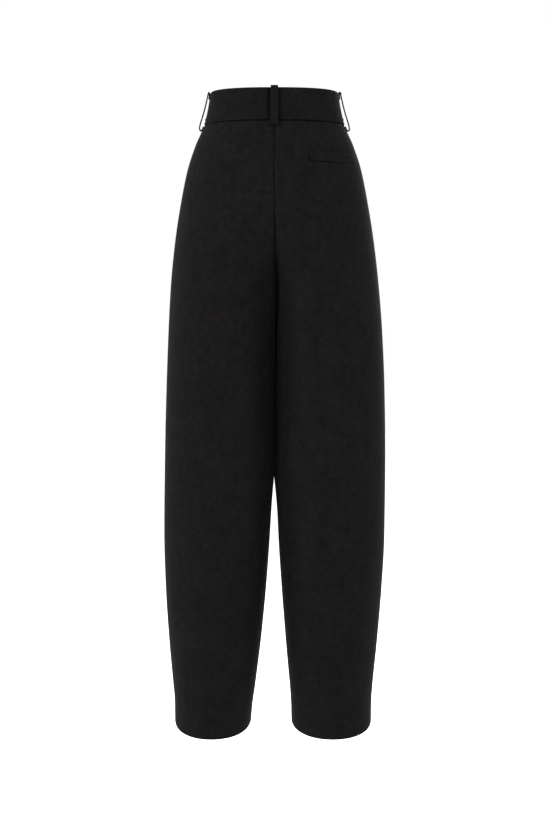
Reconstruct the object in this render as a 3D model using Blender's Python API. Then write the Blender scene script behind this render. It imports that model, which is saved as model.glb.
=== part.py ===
"""High-waisted barrel-leg trousers in black wool, filled out as worn, with nobody in them.

Units are metres, +Z is up, the front faces -Y and the wearer's left is +X. The origin is the
middle of the waist, half way up the waistband. Lengths in the tables are millimetres, and heights
in them are drops: how far a point lies below the top edge of the waistband.

Each leg is a ring of cloth at every drop. From the hip to the thigh the two rings would overlap, so
each is pressed flat where it meets the other in the middle. The centre seams run down over the
seat, turn in between the thighs and meet the inseams at the fork.
"""

import math

import bmesh
import bpy
import numpy as np

MM = 0.001
LEFT, RIGHT = 1, -1

# Cloth and seams, in millimetres.
CLOTH = 1.6
HEM_CLOTH = 2.8
BAND_CLOTH = 3.0
BAND_PROUD = 0.8
TRIM_CLOTH = 1.2
SEAM_GAP = 0.3

# Heights, as drops below the top edge of the waistband, in millimetres.
BAND_DEPTH = 52.0
FORK_DROP = 305.0
CLEFT_DROP = 180.0
HEM_FOLD_DROP = 1016.0
HEM_DROP = 1060.0
HEM_DIP_BACK = 10.9
HEM_DIP_FRONT = 7.0
HEM_DIP_START = 880.0

# How softly a thigh's flat inner side turns out into its round back and front, in millimetres.
CLEFT_ROUNDING = 4.0

# The cut of what is sewn on, in millimetres.
LOOP_WIDTH = 12.0
LOOP_CLOTH = 1.8
FRONT_LOOP_X = 50.0
WELT_TOP_DROP = 103.6
WELT_HEIGHT = 15.6
WELT_INNER_X = 55.0
WELT_OUTER_X = 131.0
WELT_END_SLANT = 4.0
FLY_WIDTH = 38.0
FLY_LENGTH = 138.0
FLY_CURVE = 3.0
UNDERLAP = 35.0
UNDERLAP_STEP = 16.0

# Ring angles, in degrees: 0 faces the other leg, 90 the back, 180 the side and 270 the front.
INNER_ANGLE, BACK_ANGLE, SIDE_ANGLE, FRONT_ANGLE, WHOLE_TURN = 0.0, 90.0, 180.0, 270.0, 360.0

# Sections of the body and legs: how far they reach to each side seam, back and front, and how
# square their rings are at the back and at the front (2 is an ellipse).
SECTION_COLUMNS = ("drop", "left", "right", "back", "front", "back_square", "front_square")
SECTIONS = (
    (0, 105.3, 105.3, 93, 92, 2.55, 2.55),
    (26, 109.8, 109.8, 98, 95, 2.45, 2.60),
    (52, 116.2, 116.2, 104, 99, 2.32, 2.60),
    (86, 131.0, 131.0, 116, 105, 2.25, 2.55),
    (125, 144.0, 144.0, 128, 110, 2.30, 2.50),
    (175, 154.6, 154.4, 137, 115, 2.35, 2.50),
    (241, 165.0, 165.2, 138, 119, 2.40, 2.50),
    (317, 172.9, 174.1, 131, 120, 2.40, 2.50),
    (400, 177.7, 180.9, 123, 117, 2.35, 2.45),
    (485, 181.2, 184.9, 117, 112, 2.30, 2.40),
    (612, 184.8, 187.1, 110, 105, 2.25, 2.30),
    (740, 186.6, 186.2, 104, 99, 2.20, 2.20),
    (826, 184.5, 182.1, 99, 95, 2.15, 2.15),
    (912, 179.5, 175.5, 93, 90, 2.10, 2.10),
    (999, 172.0, 167.1, 86, 84, 2.10, 2.10),
    (1020, 170.2, 165.6, 84, 82, 2.10, 2.10),
    (1060, 169.9, 165.2, 83, 80, 2.10, 2.10),
)

# How far the two rings have parted: 0 where they are one round body, 1 where they only touch.
PARTING_COLUMNS = ("drop", "share")
PARTINGS = (
    (140, 0.0),
    (175, 0.05),
    (210, 0.22),
    (245, 0.43),
    (280, 0.63),
    (310, 0.77),
    (350, 0.88),
    (400, 0.945),
    (480, 0.982),
    (600, 1.0),
    (1060, 1.0),
)

# How far each inseam stays from the middle, below where the legs touch.
INSEAM_COLUMNS = ("drop", "left", "right")
INSEAMS = (
    (500, 0.0, 0.0),
    (638, 0.0, 0.0),
    (648, 0.7, 0.6),
    (660, 1.9, 1.8),
    (697, 5.0, 4.6),
    (740, 7.6, 6.6),
    (826, 13.8, 12.0),
    (912, 22.1, 18.6),
    (955, 27.4, 22.3),
    (999, 33.2, 26.4),
    (1025, 37.0, 28.2),
    (1060, 40.2, 29.1),
)

# Where the legs lean on each other: how far that place is from the middle, towards the left leg,
# and how much it slants from back to front.
LEAN_COLUMNS = ("drop", "shift", "slant")
LEANS = (
    (200, 0.0, 0.0),
    (260, -0.2, -0.014),
    (300, -1.2, -0.026),
    (341, -1.9, -0.030),
    (416, -1.0, -0.030),
    (509, -0.2, -0.030),
    (594, 0.2, -0.024),
    (640, 0.5, -0.010),
    (720, 0.0, 0.0),
    (800, 0.0, 0.0),
)

# The panels' rows, closer together at the fork and at the hem's fold.
PANEL_DROPS = (
    52.3, 61, 73, 88, 106, 128, 153, 178, 203, 226, 246, 264, 278, 288, 295, 300, 303.2, 304.8,
    308, 320, 342, 372, 410, 455, 505, 555, 605, 650, 695, 740, 785, 830, 875, 915, 950, 980,
    1002, 1014, 1020, 1042, 1060,
)  # fmt: skip
INNER_COLUMNS = 5
OUTER_COLUMNS = 11
BAND_DROPS = (0.0, 17.0, 35.0, 52.0)
BAND_COLUMNS = 30

# A belt loop's middle line, from the end turned under at the top to the end turned under at the
# bottom: how far it stands off the body when it is sewn down flat, its share of the loop's slack,
# and its drop.
LOOP_COLUMNS = ("off", "slack", "drop")
LOOP_LINE = (
    (2.05, 0.00, 9.0),
    (2.05, 0.00, 3.5),
    (2.35, 0.00, -0.8),
    (3.40, 0.00, -2.2),
    (4.25, 0.02, -0.8),
    (4.35, 0.10, 3.0),
    (4.25, 0.40, 18.0),
    (4.15, 0.74, 34.0),
    (4.10, 1.00, 48.0),
    (4.05, 0.95, 55.0),
    (3.90, 0.60, 60.0),
    (2.90, 0.20, 62.2),
    (1.75, 0.00, 61.0),
    (1.25, 0.00, 57.5),
    (1.25, 0.00, 54.3),
)
LOOP_SLACK = 3.4
FRONT_LOOP_SLACK = 5.4
LOOP_STATIONS = 34

BLACK_WOOL = (0.0122, 0.0108, 0.0114, 1.0)
TRIM_WOOL = (0.0110, 0.0098, 0.0103, 1.0)


def columns_of(names, rows):
    """A table's rows as one array for each named column."""
    return dict(zip(names, np.array(rows, float).T))


SECTION = columns_of(SECTION_COLUMNS, SECTIONS)
PARTING = columns_of(PARTING_COLUMNS, PARTINGS)
INSEAM = columns_of(INSEAM_COLUMNS, INSEAMS)
LEAN = columns_of(LEAN_COLUMNS, LEANS)


def read(table, column, drop):
    """A column's value at any drop, on a smooth curve that never overshoots the table's rows."""
    at, value = table["drop"], table[column]
    drop = np.clip(np.asarray(drop, float), at[0], at[-1])
    step = np.diff(at)
    rise = np.diff(value) / step
    slope = np.zeros_like(value)
    same_way = rise[:-1] * rise[1:] > 0
    weight_before = 2 * step[1:] + step[:-1]
    weight_after = step[1:] + 2 * step[:-1]
    before = np.where(same_way, rise[:-1], 1.0)
    after = np.where(same_way, rise[1:], 1.0)
    mean = (weight_before + weight_after) / (weight_before / before + weight_after / after)
    slope[1:-1] = np.where(same_way, mean, 0.0)
    slope[0], slope[-1] = rise[0], rise[-1]
    i = np.clip(np.searchsorted(at, drop, side="right") - 1, 0, len(step) - 1)
    t = (drop - at[i]) / step[i]
    start = (1 + 2 * t) * (1 - t) ** 2 * value[i] + t * (1 - t) ** 2 * step[i] * slope[i]
    end = t * t * (3 - 2 * t) * value[i + 1] - t * t * (1 - t) * step[i] * slope[i + 1]
    return start + end


def signed_power(value, power):
    return np.sign(value) * np.abs(value) ** power


def smooth_step(value):
    """0 below 0, 1 above 1, and a smooth rise between."""
    t = np.clip(value, 0.0, 1.0)
    return t * t * (3 - 2 * t)


def ring_extent(side, drop):
    """The middle and half the width of a leg's ring, across the body, before it is pressed flat."""
    side_name = "left" if side == LEFT else "right"
    outer = read(SECTION, side_name, drop)
    share = read(PARTING, "share", drop)
    inner = read(INSEAM, side_name, drop) - outer * (1 - share) / (1 + share)
    return (outer + inner) / 2, (outer - inner) / 2


def body_point(side, drop, angle):
    """A point of the cloth's outer face, in millimetres, with the origin at the waist."""
    middle, half_width = ring_extent(side, drop)
    turn = np.radians(angle)
    at_back = np.sin(turn) >= 0
    depth = np.where(at_back, read(SECTION, "back", drop), read(SECTION, "front", drop))
    square = np.where(
        at_back, read(SECTION, "back_square", drop), read(SECTION, "front_square", drop)
    )
    along = depth * signed_power(np.sin(turn), 2 / square)
    past_middle = middle - half_width * signed_power(np.cos(turn), 2 / square) - SEAM_GAP / 2
    softness = CLEFT_ROUNDING * smooth_step((drop - CLEFT_DROP) / (FORK_DROP - CLEFT_DROP))
    pressed = (past_middle + np.sqrt(past_middle**2 + softness**2)) / 2
    innermost = middle - half_width - SEAM_GAP / 2
    least = (innermost + np.sqrt(innermost**2 + softness**2)) / 2
    pressed = pressed - (least - np.maximum(innermost, 0)) * np.exp(-(pressed - least) / 20)
    across = np.where(softness > 0, pressed, past_middle) + SEAM_GAP / 2
    facing_inwards = np.exp(-(across - SEAM_GAP / 2) / 45.0)
    lean = read(LEAN, "shift", drop) + read(LEAN, "slant", drop) * along
    dip = smooth_step((drop - HEM_DIP_START) / (HEM_DROP - HEM_DIP_START))
    dip = dip * np.where(at_back, HEM_DIP_BACK, HEM_DIP_FRONT) * np.sin(turn)
    x = side * across + lean * facing_inwards
    z = BAND_DEPTH / 2 - drop - dip
    return np.stack(np.broadcast_arrays(x, along, z), axis=-1)


def body_normal(side, drop, angle):
    """The direction that the cloth's outer face looks in."""
    small_turn, small_drop = 0.05, 0.5
    round_it = body_point(side, drop, angle + small_turn)
    round_it = round_it - body_point(side, drop, angle - small_turn)
    down_it = body_point(side, drop + small_drop, angle)
    down_it = down_it - body_point(side, drop - small_drop, angle)
    normal = side * np.cross(round_it, down_it)
    return normal / np.linalg.norm(normal, axis=-1, keepdims=True)


def seam_angles(side, drop, facing):
    """The ring angles, counted from the inner side, of the centre seam or inseam, and of the edge
    where the leg leaves the other one."""
    middle, half_width = ring_extent(side, drop)
    square = read(SECTION, facing + "_square", drop)
    reach = float((middle - SEAM_GAP / 2) / half_width)
    edge = math.acos(min(1.0, signed_power(reach, square / 2)))
    above_fork = np.clip((FORK_DROP - drop) / (FORK_DROP - CLEFT_DROP), 0.0, 1.0)
    share = math.sqrt(1 - (1 - above_fork) ** 3)
    seam = math.asin(min(1.0, share ** (square / 2) * math.sin(edge)))
    if above_fork == 1.0:
        seam = edge
    return math.degrees(seam), math.degrees(edge)


def cloth_length(side, drop, angles):
    """How far along the cloth each ring angle lies from the first one."""
    steps = np.diff(body_point(side, drop, angles), axis=0)
    return np.concatenate([[0.0], np.cumsum(np.linalg.norm(steps, axis=1))])


def spread_angles(side, drop, start, end, count, start_gap=0.0, end_gap=0.0):
    """Ring angles from start to end, evenly spaced along the cloth, in from the ends by the gaps."""
    fine = np.linspace(start, end, 400)
    along = cloth_length(side, drop, fine)
    return np.interp(np.linspace(start_gap, along[-1] - end_gap, count), along, fine)


def panel_angles(side, drop, facing):
    """A panel's ring angles at one drop, from its centre seam or inseam to its side seam. The same
    columns follow the flat inner side at every drop."""
    seam, edge = seam_angles(side, drop, facing)
    fine = np.linspace(seam, SIDE_ANGLE, 600)
    if facing == "front":
        fine, edge = WHOLE_TURN - fine, WHOLE_TURN - edge
    along = cloth_length(side, drop, fine)
    order = np.argsort(fine)
    start = SEAM_GAP / 2 if seam == 0.0 else 0.0
    least = 14 + 34 * smooth_step((drop - 265) / 135)
    inner_end = max(float(np.interp(edge, fine[order], along[order])), start + least)
    inner = np.linspace(start, inner_end, INNER_COLUMNS)
    outer = np.linspace(0, 1, OUTER_COLUMNS) ** 1.25
    outer = inner_end + (along[-1] - SEAM_GAP / 2 - inner_end) * outer
    return np.interp(np.concatenate([inner, outer[1:]]), along, fine)


def angle_at_x(x, drop, facing):
    """The ring angle, on the side's back or front quarter, at that distance from the middle."""
    fine = np.linspace(seam_angles(RIGHT, drop, facing)[1], SIDE_ANGLE, 600)
    if facing == "front":
        fine = WHOLE_TURN - fine
    return float(np.interp(x, -body_point(RIGHT, drop, fine)[:, 0], fine))


def new_material(name, colour):
    material = bpy.data.materials.new(name)
    material.use_nodes = True
    shader = material.node_tree.nodes["Principled BSDF"]
    shader.inputs["Base Color"].default_value = colour
    shader.inputs["Roughness"].default_value = 0.85
    shader.inputs["Metallic"].default_value = 0.0
    material.diffuse_color = colour
    return material


def cloth_wall(name, outside, inside, material, collection):
    """One closed wall between two grids of points in millimetres, outer face and inner face."""
    rows, columns = outside.shape[:2]
    faces = bmesh.new()
    bmesh.ops.create_grid(faces, x_segments=columns - 1, y_segments=rows - 1, size=0.5)
    place = faces.verts.layers.int.new("place")
    for vert in faces.verts:
        column = round((vert.co.x + 0.5) * (columns - 1))
        row = round((0.5 - vert.co.y) * (rows - 1))
        vert[place] = row * columns + column
    grown = bmesh.ops.extrude_face_region(faces, geom=faces.faces[:])
    outer_verts = {item for item in grown["geom"] if isinstance(item, bmesh.types.BMVert)}
    outer_points, inner_points = outside.reshape(-1, 3) * MM, inside.reshape(-1, 3) * MM
    for vert in faces.verts:
        points = outer_points if vert in outer_verts else inner_points
        vert.co = points[vert[place]]
    bmesh.ops.recalc_face_normals(faces, faces=faces.faces[:])
    if faces.calc_volume(signed=True) < 0:
        bmesh.ops.reverse_faces(faces, faces=faces.faces[:])
    mesh = bpy.data.meshes.new(name)
    faces.to_mesh(mesh)
    faces.free()
    mesh.materials.append(material)
    mesh.shade_smooth()
    mesh.set_sharp_from_angle(angle=math.radians(40))
    piece = bpy.data.objects.new(name, mesh)
    collection.objects.link(piece)
    return piece


def body_grid(side, drops, angle_rows, off):
    """Points and normals for rows of ring angles, moved out from the cloth's face by off."""
    drops = np.asarray(drops, float)[:, None]
    points = body_point(side, drops, angle_rows)
    normals = body_normal(side, drops, angle_rows)
    return points + normals * off, normals


def leg_panel(name, side, facing, material, collection):
    """A front or a back, from the waist seam to the hem, between its centre seam and side seam."""
    angle_rows = np.array([panel_angles(side, drop, facing) for drop in PANEL_DROPS])
    outside, normals = body_grid(side, PANEL_DROPS, angle_rows, 0.0)
    in_hem = np.array(PANEL_DROPS) > HEM_FOLD_DROP
    thickness = np.where(in_hem, HEM_CLOTH, CLOTH)[:, None, None]
    cloth_wall(name, outside, outside - normals * thickness, material, collection)


def waistband_half(name, side, material, collection):
    """Half the waistband, from the centre back to the centre front. The left half runs on under
    the right half, where the waistband hooks."""
    angle_rows, off_rows = [], []
    for drop in BAND_DROPS:
        full = spread_angles(side, drop, BACK_ANGLE, FRONT_ANGLE, 3, SEAM_GAP / 2, SEAM_GAP / 2)
        angles = spread_angles(side, drop, full[0], full[-1], BAND_COLUMNS)
        offs = np.full(BAND_COLUMNS, BAND_PROUD)
        if side == LEFT:
            past = angle_past_front(drop, UNDERLAP)
            step_start = angle_past_front(drop, -UNDERLAP_STEP)
            before = spread_angles(side, drop, full[0], step_start, BAND_COLUMNS - 8)
            after = spread_angles(side, drop, step_start, past, 13)[1:]
            angles = np.concatenate([before, after])
            share = (angles - step_start) / (FRONT_ANGLE - 1.0 - step_start)
            offs = BAND_PROUD - (BAND_CLOTH + SEAM_GAP) * smooth_step(share)
        angle_rows.append(angles)
        off_rows.append(offs)
    points, normals = body_grid(side, BAND_DROPS, np.array(angle_rows), 0.0)
    outside = points + normals * np.array(off_rows)[:, :, None]
    cloth_wall(name, outside, outside - normals * BAND_CLOTH, material, collection)


def angle_past_front(drop, distance):
    """The ring angle that lies past the centre front by a distance along the cloth."""
    fine = np.linspace(FRONT_ANGLE - 45, FRONT_ANGLE + 45, 400)
    along = cloth_length(LEFT, drop, fine)
    return float(np.interp(np.interp(FRONT_ANGLE, fine, along) + distance, along, fine))


def smooth_line(points, count):
    """A smooth curve through points, as evenly spaced ones."""
    points = np.asarray(points, float)
    ends = np.vstack([2 * points[0] - points[1], points, 2 * points[-1] - points[-2]])
    fine = []
    for before, start, end, after in zip(ends, ends[1:], ends[2:], ends[3:]):
        for t in np.linspace(0, 1, 20, endpoint=False):
            fine.append(
                0.5
                * (
                    2 * start
                    + (end - before) * t
                    + (2 * before - 5 * start + 4 * end - after) * t**2
                    + (3 * start - before - 3 * end + after) * t**3
                )
            )
    fine = np.array(fine + [points[-1]])
    along = np.concatenate([[0.0], np.cumsum(np.linalg.norm(np.diff(fine, axis=0), axis=1))])
    at = np.linspace(0, along[-1], count)
    return np.stack([np.interp(at, along, column) for column in fine.T], axis=1)


def belt_loop(name, side, angle, slack, material, collection):
    """A strip standing off the waistband, sewn down above and below it with its ends turned in."""
    line = [(off + share * slack, drop) for off, share, drop in LOOP_LINE]
    line = smooth_line(line, LOOP_STATIONS)
    off, drop = line[:, :1], line[:, 1:]
    across = body_point(side, drop, angle + 0.5) - body_point(side, drop, angle - 0.5)
    across /= np.linalg.norm(across, axis=-1, keepdims=True)
    middle = body_point(side, drop, angle) + body_normal(side, drop, angle) * off[:, :, None]
    outwards = np.cross(np.gradient(middle, axis=0), across)
    outwards /= np.linalg.norm(outwards, axis=-1, keepdims=True)
    strip = middle + across * np.array([-0.5, 0.0, 0.5])[:, None] * LOOP_WIDTH
    half = outwards * LOOP_CLOTH / 2
    cloth_wall(name, strip + half, strip - half, material, collection)


def pocket_welt(material, collection):
    """The single welt of the hip pocket on the right back, with a slanting inner end."""
    angle_rows = []
    drops = np.linspace(WELT_TOP_DROP, WELT_TOP_DROP + WELT_HEIGHT, 4)
    for drop in drops:
        slant = WELT_END_SLANT * (drop - WELT_TOP_DROP) / WELT_HEIGHT
        start = angle_at_x(WELT_INNER_X + slant, drop, "back")
        end = angle_at_x(WELT_OUTER_X, drop, "back")
        angle_rows.append(spread_angles(RIGHT, drop, start, end, 12))
    inside, normals = body_grid(RIGHT, drops, np.array(angle_rows), SEAM_GAP)
    cloth_wall("pocket_welt", inside + normals * TRIM_CLOTH, inside, material, collection)


def fly_lap(material, collection):
    """The lap of the right front over the closed zip, with a curved foot."""
    top = BAND_DEPTH + SEAM_GAP
    shares = np.sin(np.linspace(0, math.pi / 2, 16)) * 0.995
    drops = top + FLY_LENGTH * shares
    angle_rows = []
    for drop, share in zip(drops, shares):
        width = FLY_WIDTH * (1 - share**FLY_CURVE) ** (1 / FLY_CURVE)
        whole = np.linspace(WHOLE_TURN - seam_angles(RIGHT, drop, "front")[0], SIDE_ANGLE, 400)
        along = cloth_length(RIGHT, drop, whole)
        angle_rows.append(np.interp(np.linspace(0, width, 7), along, whole))
    inside, normals = body_grid(RIGHT, drops, np.array(angle_rows), SEAM_GAP)
    cloth_wall("fly_lap", inside + normals * TRIM_CLOTH, inside, material, collection)


def main():
    for old in list(bpy.data.objects):
        bpy.data.objects.remove(old)
    trousers = bpy.data.collections.new("barrel_leg_trousers")
    bpy.context.scene.collection.children.link(trousers)
    wool = new_material("black_wool", BLACK_WOOL)
    trim = new_material("black_wool_trim", TRIM_WOOL)

    for side, side_name in ((LEFT, "left"), (RIGHT, "right")):
        leg_panel(f"back_{side_name}", side, "back", wool, trousers)
        leg_panel(f"front_{side_name}", side, "front", wool, trousers)
        waistband_half(f"waistband_{side_name}", side, trim, trousers)
        belt_loop(f"belt_loop_side_{side_name}", side, SIDE_ANGLE, LOOP_SLACK, trim, trousers)
        front_angle = angle_at_x(FRONT_LOOP_X, BAND_DEPTH / 2, "front")
        name = f"belt_loop_front_{side_name}"
        belt_loop(name, side, front_angle, FRONT_LOOP_SLACK, trim, trousers)
    belt_loop("belt_loop_back", LEFT, BACK_ANGLE, LOOP_SLACK, trim, trousers)
    pocket_welt(trim, trousers)
    fly_lap(trim, trousers)


main()
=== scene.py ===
"""Black wool barrel-leg trousers, filled out as worn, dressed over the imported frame.

The lengths in the tables are millimetres. A drop is how far a point lies below the top edge of
the waistband. The shape of the cloth is worked out by the same rings as the frame's solids.
"""

import math

import bmesh
import bpy
import numpy as np
from mathutils import Matrix, Vector


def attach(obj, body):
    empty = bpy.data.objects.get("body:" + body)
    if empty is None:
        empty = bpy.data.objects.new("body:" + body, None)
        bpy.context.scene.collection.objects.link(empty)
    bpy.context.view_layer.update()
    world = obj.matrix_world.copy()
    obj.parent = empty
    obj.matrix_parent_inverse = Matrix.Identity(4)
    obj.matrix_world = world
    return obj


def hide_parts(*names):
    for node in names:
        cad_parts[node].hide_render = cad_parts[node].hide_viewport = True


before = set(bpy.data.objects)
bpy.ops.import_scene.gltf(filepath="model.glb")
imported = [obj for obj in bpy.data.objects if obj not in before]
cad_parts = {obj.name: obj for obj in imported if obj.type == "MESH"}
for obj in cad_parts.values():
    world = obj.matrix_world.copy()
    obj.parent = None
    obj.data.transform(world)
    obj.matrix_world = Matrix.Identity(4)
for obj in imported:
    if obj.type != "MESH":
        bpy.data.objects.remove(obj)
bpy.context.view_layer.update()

MM = 0.001
LEFT = 1
RIGHT = -1
SIDE_NAMES = {LEFT: "left", RIGHT: "right"}
OUTWARDS = {"back": np.array([0.0, 1.0, 0.0]), "front": np.array([0.0, -1.0, 0.0])}

# Cloth and seams, in millimetres
CLOTH = 1.6
HEM_CLOTH = 2.8
BAND_CLOTH = 3.0
BAND_PROUD = 0.8
TRIM_CLOTH = 1.2
TRIM_BURIED = 0.55
SEAM_GAP = 0.03

# Heights of the cut, as drops. The centre seam turns in from TURN_IN_DROP on its way to the fork,
# and the cleft between the thighs opens from CLEFT_DROP.
BAND_DEPTH = 52.0
TURN_IN_DROP = 180.0
CLEFT_DROP = 235.0
FORK_DROP = 305.0
HEM_DIP_START = 880.0
HEM_FOLD_DROP = 1016.0
HEM_DROP = 1060.0

# How far the hem dips in the middle of the back and of the front
HEM_DIP_BACK = 10.9
HEM_DIP_FRONT = 7.0

# How softly a leg turns away from the other one, at the closed seam and in the open cleft, and
# over what distance that fades
SEAM_ROUNDING = 0.5
CLEFT_ROUNDING = 4.0
ROUNDING_FADE = 20.0

# How far from the middle the lean of the legs reaches
LEAN_REACH = 45.0

# Belt loops
LOOP_WIDTH = 12.0
LOOP_CLOTH = 1.8
FRONT_LOOP_X = 50.0

# Pocket welt on the right back
WELT_TOP_DROP = 103.6
WELT_HEIGHT = 15.6
WELT_INNER_X = 55.0
WELT_OUTER_X = 131.0
WELT_END_SLANT = 4.0

# Marks that sewing and pressing leave: how far from the edge, the rise, the half width
SEAM_MARK = (8.0, 0.3, 3.0)
SIDE_MARK = (9.0, 0.25, 3.0)
UNDER_BAND_MARK = (6.5, 0.35, 1.8)
HEM_MARK = (3.0, 0.25, 3.0)
BAND_FOLD_MARK = (43.8, 0.7, 1.7)
BAND_STITCH_MARK = (46.8, -0.6, 1.3)
OVER_WELT_MARK = (-1.4, -1.6, 1.7)
UNDER_WELT_MARK = (1.3, -2.4, 1.7)
WELT_STITCH_MARK = (4.4, 1.0, 1.6)
POCKET_BAG_MARK = (9.4, 0.8, 1.6)
WELT_END_MARK = (-1.5, -2.2, 1.8)

# How high the slight waves of the worn waistband are
BAND_WAVE = 0.35

# Fly lap
FLY_WIDTH = 38.0
FLY_LENGTH = 138.0
FLY_CURVE = 3.0
FLY_STITCH_INSET = 5.0

# Waistband underlap at the front
UNDERLAP = 35.0
UNDERLAP_STEP = 16.0

# How the top of a panel sinks in under the waistband, less so at the sides
TUCK_DEPTH = 4.0
TUCK_REACH = 2.4
LEAST_TUCK = 0.3

# How the panels roll in at the centre seam and on into the top of the cleft
SEAM_ROLL_DEPTH = 2.4
SEAM_ROLL_REACH = 1.7
SEAM_ROLL_END = 345.0
SEAM_ROLL_FADE = 40.0
SEAM_BLEND = 12.0

# The slit between the thighs, where the legs touch
SLIT_DEPTH = {"back": 26.0, "front": 14.0}
SLIT_TOP = 262.0
SLIT_TOP_FADE = 48.0
SLIT_END = 655.0
SLIT_END_FADE = 60.0
SLIT_FADE_IN_DEPTH = 75.0
TOUCHING_REACH = 5.0
TOUCHING_END = 680.0
TOUCHING_FADE = 40.0

# Relief moves no cloth sideways within STILL_MIDDLE of the middle, and moves it freely from
# FREE_AFTER further out
STILL_MIDDLE = 4.0
FREE_AFTER = 36.0

# From this drop down, an inseam's edges are rounded like those of the side seams
OPEN_INSEAM_DROP = 640.0
OPEN_INSEAM_FADE = 40.0

# The centre seam's edges, pressed open inside
ALLOWANCE = 10.0
ALLOWANCE_PLACES = (0.0, 0.6, 1.3, 2.2, 3.5, 5.5, ALLOWANCE)

# Columns of points on a panel, and their places next to a sewn edge
INNER_COLUMNS = 15
OUTER_COLUMNS = 46
EDGE_PLACES = np.array([0.0, 0.7, 2.4])

# The inner columns reach at least this far from the seam on the seat, and then on the legs
SEAT_REACH = 14.0
LEG_REACH = 48.0
LEG_REACH_START = 265.0
LEG_REACH_GROWTH = 135.0

# The dent that each half of the waistband has beside the back belt loop: its rise, its half width
BAND_DENT = {LEFT: (-5.0, 2.8), RIGHT: (-1.4, 3.6)}

# Stitches
STITCH_LENGTH = 2.6
STITCH_PITCH = 3.2
THREAD = 0.45

# Ring angles, in degrees
BACK_ANGLE = 90.0
SIDE_ANGLE = 180.0
FRONT_ANGLE = 270.0
WHOLE_TURN = 360.0

# Edges that turn by more than this many degrees stay sharp
SHARP_TURN = 65.0

# The cloth's colours, from the darkest of the mottle to the lightest
WOOL_DARK = (0.0025, 0.0022, 0.0023, 1)
WOOL_LIGHT = (0.0041, 0.0036, 0.0038, 1)
BAND_LIGHT = (0.0037, 0.0033, 0.0035, 1)
THREAD_DARK = (0.003, 0.003, 0.0032, 1)
THREAD_LIGHT = (0.007, 0.0066, 0.0068, 1)

# How high the nap stands, in metres
WOOL_NAP = 0.00025
BAND_NAP = 0.00015

# Each light: its name, its place and target, its width and height, in metres, and its power
LIGHTS = (
    ("key_light", (1.9, 2.0, 1.1), (0.0, 0.0, -0.35), 0.9, 1.6, 100.0),
    ("right_key_light", (-1.9, 2.0, 0.8), (0.0, 0.0, -0.4), 0.9, 1.6, 33.0),
    ("left_side_light", (2.8, 0.8, 0.5), (0.0, 0.0, -0.45), 0.8, 1.8, 68.0),
    ("right_side_light", (-2.8, 0.8, 0.5), (0.0, 0.0, -0.45), 0.8, 1.8, 64.0),
    ("front_light", (-0.8, -2.6, 0.5), (0.0, 0.0, -0.5), 1.4, 1.8, 45.0),
)
FLOOR_RADIUS = 9.0
FLOOR_THICKNESS = 0.02
FLOOR_HEIGHT = -1.36
PALE_GREY = (0.93, 0.93, 0.93, 1)
WHITE = (1, 1, 1, 1)

# The camera: its place, in metres and as a drop, how far it looks down, and its lens
CAMERA_DISTANCE = 2.70
CAMERA_SIDE = -0.0010
CAMERA_DROP = 321.6
CAMERA_PITCH = 4.438
CAMERA_LENS = 70.0
CAMERA_SENSOR = 36.0

# The rings: how far the cloth reaches to each side, and how square its back and front are
SECTION_COLUMNS = ("drop", "left", "right", "back", "front", "back_square", "front_square")
SECTIONS = (
    (0, 105.3, 105.3, 93, 92, 2.55, 2.55),
    (26, 109.8, 109.8, 98, 95, 2.45, 2.60),
    (52, 116.2, 116.2, 104, 99, 2.32, 2.60),
    (86, 131.0, 131.0, 116, 105, 2.25, 2.55),
    (125, 144.0, 144.0, 128, 110, 2.30, 2.50),
    (175, 154.6, 154.4, 137, 115, 2.35, 2.50),
    (241, 165.0, 165.2, 138, 119, 2.40, 2.50),
    (317, 172.9, 174.1, 131, 120, 2.40, 2.50),
    (400, 177.7, 180.9, 123, 117, 2.35, 2.45),
    (485, 181.2, 184.9, 117, 112, 2.30, 2.40),
    (612, 184.8, 187.1, 110, 105, 2.25, 2.30),
    (740, 186.6, 186.2, 104, 99, 2.20, 2.20),
    (826, 184.5, 182.1, 99, 95, 2.15, 2.15),
    (912, 179.5, 175.5, 93, 90, 2.10, 2.10),
    (999, 172.0, 167.1, 86, 84, 2.10, 2.10),
    (1020, 170.2, 165.6, 84, 82, 2.10, 2.10),
    (1060, 169.9, 165.2, 83, 80, 2.10, 2.10),
)

# How far the legs have parted: 0 where a ring goes round the whole body, 1 where it is one leg's
PARTING_COLUMNS = ("drop", "share")
PARTINGS = (
    (140, 0.0),
    (175, 0.05),
    (210, 0.22),
    (245, 0.43),
    (280, 0.63),
    (310, 0.77),
    (350, 0.88),
    (400, 0.945),
    (480, 0.982),
    (600, 1.0),
    (1060, 1.0),
)

# How far each inseam hangs from the middle
INSEAM_COLUMNS = ("drop", "left", "right")
INSEAMS = (
    (500, 0.0, 0.0),
    (638, 0.0, 0.0),
    (648, 0.7, 0.6),
    (660, 1.9, 1.8),
    (697, 5.0, 4.6),
    (740, 7.6, 6.6),
    (826, 13.8, 12.0),
    (912, 22.1, 18.6),
    (955, 27.4, 22.3),
    (999, 33.2, 26.4),
    (1025, 37.0, 28.2),
    (1060, 40.2, 29.1),
)

# How the inner sides of the legs lean to the left, and how much more so for each mm to the back
LEAN_COLUMNS = ("drop", "shift", "slant")
LEANS = (
    (200, 0.0, 0.0),
    (260, -0.2, -0.014),
    (300, -1.2, -0.026),
    (341, -1.9, -0.030),
    (416, -1.0, -0.030),
    (509, -0.2, -0.030),
    (594, 0.2, -0.024),
    (640, 0.5, -0.010),
    (720, 0.0, 0.0),
    (800, 0.0, 0.0),
)

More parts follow.
